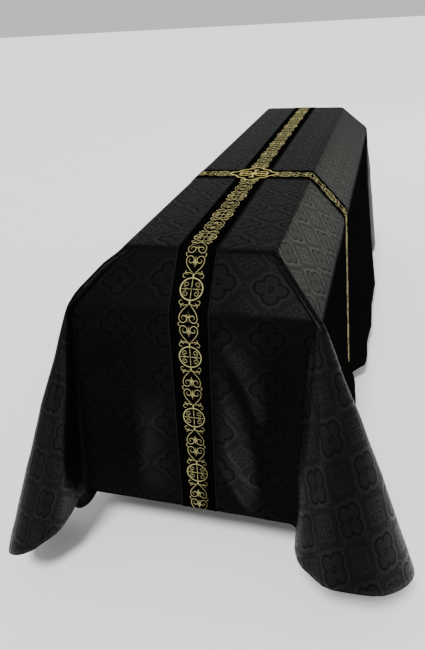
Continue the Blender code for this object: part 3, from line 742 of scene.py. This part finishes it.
# %% Shader helpers
class Wire:
    """A socket of a material's tree, with arithmetic."""

    def __init__(self, paint, socket):
        self.paint = paint
        self.socket = socket

    def _maths(self, operation, first, second=None):
        return self.paint.node("ShaderNodeMath", {"operation": operation},
                               {0: first} if second is None else {0: first, 1: second})

    def __add__(self, other):
        return self._maths("ADD", self, other)

    def __sub__(self, other):
        return self._maths("SUBTRACT", self, other)

    def __rsub__(self, other):
        return self._maths("SUBTRACT", other, self)

    def __mul__(self, other):
        return self._maths("MULTIPLY", self, other)

    def __abs__(self):
        return self._maths("ABSOLUTE", self)

    __radd__ = __add__
    __rmul__ = __mul__

    def sine(self):
        return self._maths("SINE", self)

    def cosine(self):
        return self._maths("COSINE", self)

    def root(self):
        return self._maths("SQRT", self)

    def larger(self, other):
        return self._maths("MAXIMUM", self, other)

    def smaller(self, other):
        return self._maths("MINIMUM", self, other)

    def folded(self, pitch):
        """Distance to the nearest multiple of pitch."""
        return self._maths("PINGPONG", self, pitch / 2)

    def below(self, limit):
        """1 where this is under limit, with a soft edge."""
        return self.paint.node("ShaderNodeMapRange", {"interpolation_type": "SMOOTHSTEP"},
                               {"Value": self, "From Min": limit + 0.0005, "From Max": limit - 0.0005})

    def within(self, width):
        """1 where this is under width, with a soft edge half as wide."""
        return self.paint.node("ShaderNodeMapRange", {"interpolation_type": "SMOOTHSTEP"},
                               {"Value": self, "From Min": width * 1.25, "From Max": width * 0.75})


class Paint:
    """A material and the one method that adds its nodes."""

    def __init__(self, name):
        self.material = bpy.data.materials.new(name)
        self.material.use_nodes = True
        self.tree = self.material.node_tree
        self.shader = self.tree.nodes["Principled BSDF"]

    def node(self, kind, settings=None, inputs=None, output=0):
        node = self.tree.nodes.new(kind)
        for name, value in (settings or {}).items():
            setattr(node, name, value)
        self.fill(node, inputs or {})
        return Wire(self, node.outputs[output])

    def fill(self, node, inputs):
        for name, value in inputs.items():
            if isinstance(value, Wire):
                self.tree.links.new(value.socket, node.inputs[name])
            else:
                node.inputs[name].default_value = value

    def finish(self, **inputs):
        self.fill(self.shader, {name.replace("_", " "): value for name, value in inputs.items()})
        return self.material

    def blend(self, factor, first, second):
        """A colour between two others."""
        node = self.tree.nodes.new("ShaderNodeMix")
        node.data_type = "RGBA"
        self.fill(node, {0: factor, 6: first, 7: second})
        return Wire(self, node.outputs[2])

    def noise(self, place, scale, detail=2.0):
        return self.node("ShaderNodeTexNoise", inputs={"Vector": place, "Scale": scale, "Detail": detail})

    def bump(self, height, distance, strength=1.0):
        return self.node("ShaderNodeBump", inputs={"Height": height, "Distance": distance, "Strength": strength})

    def flat_place(self):
        """The piece's flat UV map: across, along and the vector itself."""
        vector = self.node("ShaderNodeUVMap", {"uv_map": "flat"})
        across = self.node("ShaderNodeSeparateXYZ", inputs={0: vector})
        along = Wire(self, across.socket.node.outputs[1])
        return across, along, vector

    def object_place(self):
        return self.node("ShaderNodeTexCoord", output="Object")


def grey(value, tint=(1.0, 1.0, 1.0)):
    return (value * tint[0], value * tint[1], value * tint[2], 1.0)

# %% [markdown]
# ## Black figured damask
# Damask has one colour: its figure shows because satin and dull weave reflect differently. The
# figure here is a common one: quatrefoils with a double outline in straight columns, with rayed
# diamonds and rings between. All distances are metres in the flat cloth, so the figure folds with
# it. Folding the place into one quarter of a repeat draws every lobe from two circles. The satin
# is a coat whose weight follows the cloth's taut attribute, so the hanging walls stay black.

# %% Damask
DAMASK_ACROSS, DAMASK_ALONG = 0.124, 0.130
LOBE_ACROSS, LOBE_ALONG, LOBE_RADIUS, PETAL_INSET = 0.0212, 0.0236, 0.0180, 0.0018
STAR_RAYS, STAR_RADIUS, LINK_RADIUS, DOT_RADIUS = 8.0, 0.0125, 0.0085, 0.0030
DAMASK_TINT = (0.97, 1.05, 0.94)
THREAD = 0.0011


def make_damask():
    paint = Paint("black_damask")
    across, along, vector = paint.flat_place()
    a, b = (across + 0.5 * DAMASK_ACROSS).folded(DAMASK_ACROSS), along.folded(DAMASK_ALONG)

    def distance(x, y):
        """How far this place is from a point of the quarter repeat."""
        dx, dy = a - x, b - y
        return (dx * dx + dy * dy).root()

    edge = distance(LOBE_ACROSS, 0.0).smaller(distance(0.0, LOBE_ALONG)) - LOBE_RADIUS
    outline = abs(edge).within(0.0015)
    frame_lines = abs(edge - 0.0064).within(0.0014).larger(abs(edge - 0.0106).within(0.0012))
    dot = distance(0.0, 0.0).within(DOT_RADIUS)
    corner_x, corner_y = DAMASK_ACROSS / 2 - a, DAMASK_ALONG / 2 - b
    corner = (corner_x * corner_x + corner_y * corner_y).root()
    ray = paint.node("ShaderNodeMath", {"operation": "ARCTAN2"}, {0: corner_y, 1: corner_x})
    rays = (ray * STAR_RAYS).cosine().larger(0.0) * abs(corner - STAR_RADIUS).within(0.0080)
    slant = corner_x + corner_y
    diamond = abs(slant - 0.0330).within(0.0014).larger(abs(slant - 0.0390).within(0.0012))
    links = abs((corner_x * corner_x + b * b).root() - LINK_RADIUS).within(0.0013)
    links = links.larger(abs((a * a + corner_y * corner_y).root() - LINK_RADIUS).within(0.0013))
    star = rays.larger(diamond).larger(corner.within(DOT_RADIUS))
    lines = frame_lines.larger(star).larger(dot).larger(links)
    petals = edge.below(-PETAL_INSET)
    figure = 0.40 + petals * 0.13 + lines * 0.20 - outline * 0.27
    grain = paint.noise(vector, 420.0, 3.0)
    cloudy = paint.noise(vector, 5.0, 2.0)
    to_hem = paint.node("ShaderNodeAttribute", {"attribute_name": "to_hem"}, output="Fac")
    hem_line = abs(to_hem - 0.021).within(0.0010)
    weave = (across * (2 * math.pi / THREAD)).sine() * (along * (2 * math.pi / THREAD)).sine()
    shade = figure * 0.75 + grain * 0.30 + cloudy * 0.20 - 0.12
    colour = paint.blend(shade, grey(0.0006, DAMASK_TINT), grey(0.0066, DAMASK_TINT))
    taut = paint.node("ShaderNodeAttribute", {"attribute_name": "taut"}, output="Fac")
    glint = paint.noise(vector, 110.0, 3.0)
    satin = lines * glint * 0.46 + petals * 0.05 + grain * 0.52 - outline * 0.12 - 0.06
    relief = figure * 0.9 + grain * 0.7 + weave * 0.12 - hem_line * 1.5
    return paint.finish(Base_Color=colour, Roughness=0.80 - figure * 0.15 + grain * 0.06,
                        Normal=paint.bump(relief, 0.0015), Specular_IOR_Level=0.0,
                        Coat_Weight=taut * satin, Coat_Roughness=0.32, Coat_IOR=1.28,
                        Coat_Tint=(0.95, 1.0, 0.91, 1.0))


damask = make_damask()
print("damask nodes:", len(damask.node_tree.nodes))

# %% [markdown]
# ## The galloon of the bands
# The bands are a dull ribbed weave that shows almost no light, with one pale thread near each
# edge. Fine ribs across the band come from a sine of the place along it.

# %% Galloon of the bands
def make_galloon():
    """A dull black ground with a fine pale line woven near each edge."""
    paint = Paint("black_galloon")
    across, along, vector = paint.flat_place()
    edge_line = abs(abs(across) - 0.0486).within(0.0007)
    rib = (along * (2 * math.pi / 0.0016)).sine()
    grain = paint.noise(vector, 500.0, 3.0)
    ground = paint.blend(grain, grey(0.0005), grey(0.0018))
    colour = paint.blend(edge_line * 0.8, ground, grey(0.022, (1.0, 0.99, 0.90)))
    relief = rib * 0.25 + grain * 0.5 + edge_line
    return paint.finish(Base_Color=colour, Roughness=0.78 - edge_line * 0.25,
                        Normal=paint.bump(relief, 0.0004), Specular_IOR_Level=0.0)


galloon = make_galloon()
print("galloon nodes:", len(galloon.node_tree.nodes))

# %% [markdown]
# ## Gold thread
# Two golds are needed: the bands' ornament is woven in an old, rather green gold, and the plaque
# is worked in a warmer one. Both are half metal, because dark gaps lie between the windings.

# %% Gold thread
def make_gold(name, pale, deep):
    """Metal thread wound on silk: fine windings catch the light between darker gaps."""
    paint = Paint(name)
    place = paint.object_place()
    winding = paint.noise(place, 900.0, 2.0)
    wear = paint.noise(place, 60.0, 2.0)
    colour = paint.blend(wear * 0.6 + winding * 0.4, deep, pale)
    return paint.finish(Base_Color=colour, Roughness=0.34 + winding * 0.22, Metallic=0.35,
                        Normal=paint.bump(winding, 0.0004, 0.7))


gold = make_gold("woven_gold_thread", (0.44, 0.40, 0.17, 1), (0.22, 0.19, 0.055, 1))
plaque_gold = make_gold("plaque_gold_thread", (0.62, 0.52, 0.15, 1), (0.33, 0.26, 0.05, 1))
print("gold nodes:", len(gold.node_tree.nodes))

# %% [markdown]
# ## Stained wood
# The casket and the bier are hidden, so they get one plain finish: dark varnished boards. A
# Mapping node stretches the noise along the casket, which makes rings and fibres of it.

# %% Stained wood
def make_wood():
    """Dark varnished boards, the grain along the casket."""
    paint = Paint("stained_wood")
    place = paint.node("ShaderNodeMapping", inputs={"Vector": paint.object_place(), "Scale": (14.0, 0.9, 14.0)})
    rings = paint.noise(place, 2.2, 4.0)
    fibre = paint.noise(place, 30.0, 3.0)
    colour = paint.blend(rings * 0.7 + fibre * 0.3, (0.028, 0.013, 0.007, 1), (0.125, 0.060, 0.028, 1))
    return paint.finish(Base_Color=colour, Roughness=0.36 + fibre * 0.2, Coat_Weight=0.25,
                        Normal=paint.bump(fibre, 0.0003))


wood = make_wood()

# %% Put the finishes on
pall.data.materials.append(damask)
for band, *_ in bands.values():
    band.data.materials.append(galloon)
for name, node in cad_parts.items():
    if name == "casket" or name.startswith("bier"):
        node.data.materials.clear()
        node.data.materials.append(wood)
print("materials:", [material.name for material in (damask, galloon, gold, plaque_gold, wood)])

# %% [markdown]
# ## Ornament on the bands
# The first roundel lies 0.1016 m down the near slope from the lid's edge, and the repeats follow
# from there both ways. On the arms they start under the plaque.

# %% Wrap the ornament round the bands
FIRST_ROUNDEL = 0.1016
tree = wrapping_tree()
_, middle_line, lengths, _ = bands["long"]
lid_edge = float(np.interp(-LID_LENGTH / 2, middle_line[:len(near_lines[0]), 1], lengths[:len(near_lines[0])]))
first_at = (lid_edge - FIRST_ROUNDEL) % REPEAT
placing = {"long": ((-1.0, 0.0, 0.0), first_at - REPEAT), "right": ((0.0, 1.0, 0.0), 0.055),
           "left": ((0.0, -1.0, 0.0), 0.055)}
ornaments = []
for name, (across, start) in placing.items():
    length = float(bands[name][2][-1])
    values = {"Path": path_curve(f"path_{name}", bands[name][1]), "Count": int(length / REPEAT) + 3,
              "Pitch": REPEAT, "Start": start, "Length": length - 0.001, "Across": across, "Material": gold}
    ornament = run_tree(f"ornament_{name}", repeat_mesh, tree, values)
    ornaments.append(ornament)
    print(ornament.name, len(ornament.data.polygons), "faces")

# %% [markdown]
# ## Stitches
# The bands are sewn down along both edges and the hem is turned up and sewn. The stitches follow
# these lines, so a second tree places one small stitch at even steps along a curve.

# %% Stitch tree
STITCH_PITCH = 0.0075


def stitch_tree():
    tree = bpy.data.node_groups.new("stitches_along_line", "GeometryNodeTree")
    for name, kind in (("Geometry", "NodeSocketGeometry"), ("Path", "NodeSocketObject"),
                       ("Spacing", "NodeSocketFloat"), ("Material", "NodeSocketMaterial")):
        tree.interface.new_socket(name, in_out="INPUT", socket_type=kind)
    tree.interface.new_socket("Geometry", in_out="OUTPUT", socket_type="NodeSocketGeometry")

    def add(kind, links=(), **settings):
        node = tree.nodes.new(kind)
        for name, value in settings.items():
            setattr(node, name, value)
        for socket, source in dict(links).items():
            tree.links.new(source, node.inputs[socket])
        return node

    given = add("NodeGroupInput").outputs
    path = add("GeometryNodeObjectInfo", {"Object": given["Path"]}).outputs["Geometry"]
    points = add("GeometryNodeCurveToPoints", {"Curve": path, "Length": given["Spacing"]}, mode="LENGTH")
    turn = add("FunctionNodeAlignRotationToVector", {"Vector": points.outputs["Tangent"]}, axis="X")
    placed = add("GeometryNodeInstanceOnPoints", {"Points": points.outputs["Points"],
                 "Instance": given["Geometry"], "Rotation": turn.outputs[0]})
    real = add("GeometryNodeRealizeInstances", {"Geometry": placed.outputs[0]})
    made = add("GeometryNodeSetMaterial", {"Geometry": real.outputs[0], "Material": given["Material"]})
    tree.links.new(made.outputs[0], add("NodeGroupOutput").inputs["Geometry"])
    return tree


def one_stitch():
    """A short thread with round ends, lying along X."""
    shape = bmesh.new()
    bmesh.ops.create_uvsphere(shape, u_segments=5, v_segments=4, radius=0.00045,
                              matrix=Matrix.Diagonal((5.0, 1.0, 1.0, 1.0)))
    mesh = bpy.data.meshes.new("one_stitch")
    shape.to_mesh(mesh)
    shape.free()
    return mesh


def make_thread():
    paint = Paint("black_thread")
    twist = paint.noise(paint.object_place(), 1500.0, 1.0)
    return paint.finish(Base_Color=paint.blend(twist, grey(0.003), grey(0.010)), Roughness=0.7 + twist * 0.1,
                        Specular_IOR_Level=0.05)


thread = make_thread()
sewing = stitch_tree()
stitch = one_stitch()


def joined(name, pieces):
    """One mesh object from several, all at the origin."""
    shape = bmesh.new()
    for piece in pieces:
        shape.from_mesh(piece.data)
    mesh = bpy.data.meshes.new(name)
    shape.to_mesh(mesh)
    shape.free()
    for piece in pieces:
        bpy.data.objects.remove(piece)
    result = bpy.data.objects.new(name, mesh)
    bpy.context.collection.objects.link(result)
    mesh.materials.append(thread)
    return result


def sew(name, lines):
    """Stitches along each of these lines, as one piece."""
    rows = [run_tree(f"{name}_{number}", stitch, sewing,
                     {"Path": path_curve(f"{name}_path_{number}", line), "Spacing": STITCH_PITCH,
                      "Material": thread}) for number, line in enumerate(lines)]
    return joined(name, rows)


HEM_ALLOWANCE = 0.020
hem_line = np.array([[np.interp(line["length"] - HEM_ALLOWANCE, runs[:, column], cloth_grid[:, column, axis])
                      for axis in range(3)] for column, line in enumerate(ring)])
hem_line = np.concatenate([hem_line, hem_line[:1]])
inset = 0.0035 / BAND_WIDTH
edge_lines = [(1 - inset) * band[3][first] + inset * band[3][last]
              for band in bands.values() for first, last in ((0, -1), (-1, 0))]
hem_stitches = sew("hem_stitches", [hem_line])
band_stitches = sew("band_stitches", edge_lines)
print("stitches:", len(hem_stitches.data.polygons), len(band_stitches.data.polygons), "faces")

# %% [markdown]
# ## The plaque
# An applique covers the crossing: a black ground with a double gold cord round an ogee
# quatrefoil, and inside it a plain cross with pairs of scrolls. The design is a generic one.

# %% Plaque
PLAQUE_RADIUS = 0.080
PLAQUE_GROUND = 0.0008
plaque_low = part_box("plaque")[0]


def ogee(radius, steps):
    """Four points on the axes and four soft lobes between them."""
    turns = np.linspace(0, 2 * math.pi, steps + 1)
    reach = radius * (0.84 + 0.10 * np.cos(4 * turns) + 0.06 * np.cos(8 * turns))
    return np.column_stack([reach * np.cos(turns), reach * np.sin(turns)])


def build_plaque_ground():
    outline = ogee(PLAQUE_RADIUS, 96)[:-1]
    count = len(outline)
    points = [(x, y + CROSS_Y, plaque_low[2] + lift) for lift in (PLAQUE_GROUND, 0.0) for x, y in outline]
    faces = [list(range(count)), list(range(2 * count - 1, count - 1, -1))]
    faces += [[step, step + count, (step + 1) % count + count, (step + 1) % count] for step in range(count)]
    piece = mesh_object("plaque_ground", points, faces)
    # A tenth of the place keeps the galloon's pale edge threads off the ground.
    paint_uv(piece, np.array(points)[:, :2] * 0.1)
    piece.data.materials.append(galloon)
    return piece


PLAQUE_RISE = 0.0009
PLAQUE_STROKES = [
    dict(line=scroll((0.0080, 0.0130), 62, (0.088, -36, -130, 24)), width=0.0046),
    dict(line=scroll((0.0440, 0.0040), 62, (0.024, 60, 200, 8)), width=0.0038),
]


def build_plaque_gold():
    parts = [raised_line(ogee(PLAQUE_RADIUS * 0.960, 120), 0.0062, PLAQUE_RISE, closed=True)]
    parts.append(raised_line(ring_line(0.0100, 28), 0.0040, PLAQUE_RISE, closed=True))
    for flip in four_ways:
        for stroke in PLAQUE_STROKES:
            parts.append(raised_line(stroke["line"] * np.array(flip), stroke["width"], PLAQUE_RISE))
    for way in (1, -1):
        for axis in (0, 1):
            arm = np.zeros((5, 2))
            arm[:, axis] = way * np.linspace(0.0, 0.046, 5)
            parts.append(raised_line(arm, 0.0056, PLAQUE_RISE * 1.1))
            foot = np.zeros((3, 2))
            foot[:, axis] = way * 0.043
            foot[:, 1 - axis] = np.linspace(-0.0085, 0.0085, 3)
            parts.append(raised_line(foot, 0.0032, PLAQUE_RISE))
    mesh = strokes_mesh("plaque_gold", parts)
    shift = Vector((MIDDLE[0], MIDDLE[1] + CROSS_Y, plaque_low[2] + PLAQUE_GROUND))
    mesh.transform(Matrix.Translation(shift))
    mesh.materials.append(plaque_gold)
    piece = bpy.data.objects.new("plaque_gold", mesh)
    bpy.context.collection.objects.link(piece)
    return piece


ground = build_plaque_ground()
needlework = build_plaque_gold()
print("plaque:", len(needlework.data.polygons), "faces")

# %% [markdown]
# ## Put the pieces on the body
# Every piece rides on the one body. The fine cloth, the bands and the plaque stand for their plain
# solids, which are hidden. The area the pall was cut to is worked out at the end of the cell.

corner_cuts = sum((1 - math.pi / 4) * row["rounding"] ** 2 * END_HANG * SIDE_HANG for row in FLARES)
pieces = {pall: "damask", hem_stitches: "damask", band_stitches: "galloon", ground: "galloon",
          needlework: "gold_thread"}
pieces.update({ornament: "gold_thread" for ornament in ornaments})
pieces.update({band[0]: "galloon" for band in bands.values()})
for piece, slot in pieces.items():
    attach(piece, "root")
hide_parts("pall_cloth")
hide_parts("band_long")
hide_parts("band_arm_right")
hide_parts("band_arm_left")
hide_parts("plaque")
FLAT_WIDTH * FLAT_LENGTH - corner_cuts

# %% [markdown]
# ## Floor, light and camera
# The photo is a cut-out on white, so the stage is a plain pale floor. A broad high light comes
# from the front, and a low panel behind the pall on the right makes the right slope the brightest.
# The camera is the one worked out from the photo, which is 425 pixels wide and 650 high.

# %% Stage
def build_floor():
    mesh = bpy.data.meshes.new("floor")
    size = 30.0
    mesh.from_pydata([(-size, -size, 0), (size, -size, 0), (size, size, 0), (-size, size, 0)], [], [[0, 1, 2, 3]])
    floor = bpy.data.objects.new("floor", mesh)
    bpy.context.collection.objects.link(floor)
    paint = Paint("pale_floor")
    mottle = paint.noise(paint.object_place(), 1.5, 2.0)
    colour = paint.blend(mottle, grey(0.92), grey(0.94))
    mesh.materials.append(paint.finish(Base_Color=colour, Roughness=0.9))


def aim(data, name, place, target):
    """Links a light at this place, turned towards its target."""
    light = bpy.data.objects.new(name, data)
    light.location = place
    light.rotation_euler = (Vector(target) - Vector(place)).to_track_quat("-Z", "Y").to_euler()
    bpy.context.collection.objects.link(light)


def add_lights():
    """A broad high light from the front, and a low panel behind the pall on the right."""
    high = bpy.data.lights.new("high", "SUN")
    high.energy, high.angle = 4.2, math.radians(14)
    aim(high, "high", (-0.3, -2.6, 4.2), (0.0, 0.0, 0.0))
    panel = bpy.data.lights.new("panel", "AREA")
    panel.shape, panel.size, panel.energy = "DISK", 3.0, 68.0
    panel.color = (0.98, 1.0, 0.88)
    aim(panel, "panel", (3.2, 5.0, 2.3), (0.25, 0.0, 0.8))


build_floor()
add_lights()
world = bpy.data.worlds.new("studio")
world.use_nodes = True
world.node_tree.nodes["Background"].inputs["Color"].default_value = (1.0, 1.0, 1.0, 1.0)
world.node_tree.nodes["Background"].inputs["Strength"].default_value = 0.70
bpy.context.scene.world = world

# %% Camera
PHOTO_HEIGHT = 650
FOCAL_PIXELS = 601.39
SENSOR = 36.0
YAW, PITCH, ROLL = np.radians([17.062, 28.643, -3.7986])
CAMERA_PLACE = np.array([0.4139, -2.2302, 0.5197]) + MIDDLE + np.array([0.0, 0.0, LID_HEIGHT])


def build_camera():
    """A camera at the photo's place, turned by its yaw, pitch and roll."""
    ahead = np.array([-math.sin(YAW) * math.cos(PITCH), math.cos(YAW) * math.cos(PITCH), -math.sin(PITCH)])
    right = np.cross(ahead, [0, 0, 1])
    right /= np.linalg.norm(right)
    up = np.cross(right, ahead)
    x_axis = math.cos(ROLL) * right + math.sin(ROLL) * up
    y_axis = -math.sin(ROLL) * right + math.cos(ROLL) * up
    data = bpy.data.cameras.new("photo_camera")
    data.sensor_fit = "VERTICAL"
    data.sensor_height = SENSOR
    data.lens = SENSOR * FOCAL_PIXELS / PHOTO_HEIGHT
    camera = bpy.data.objects.new("photo_camera", data)
    turn = Matrix((x_axis, y_axis, -ahead)).transposed()
    camera.matrix_world = Matrix.Translation(Vector(CAMERA_PLACE)) @ turn.to_4x4()
    bpy.context.collection.objects.link(camera)
    bpy.context.scene.camera = camera
    return camera


camera = build_camera()
print("camera at", [round(value, 3) for value in camera.location], "lens", round(camera.data.lens, 2))

# %% Update the scene and finish
bpy.context.view_layer.update()
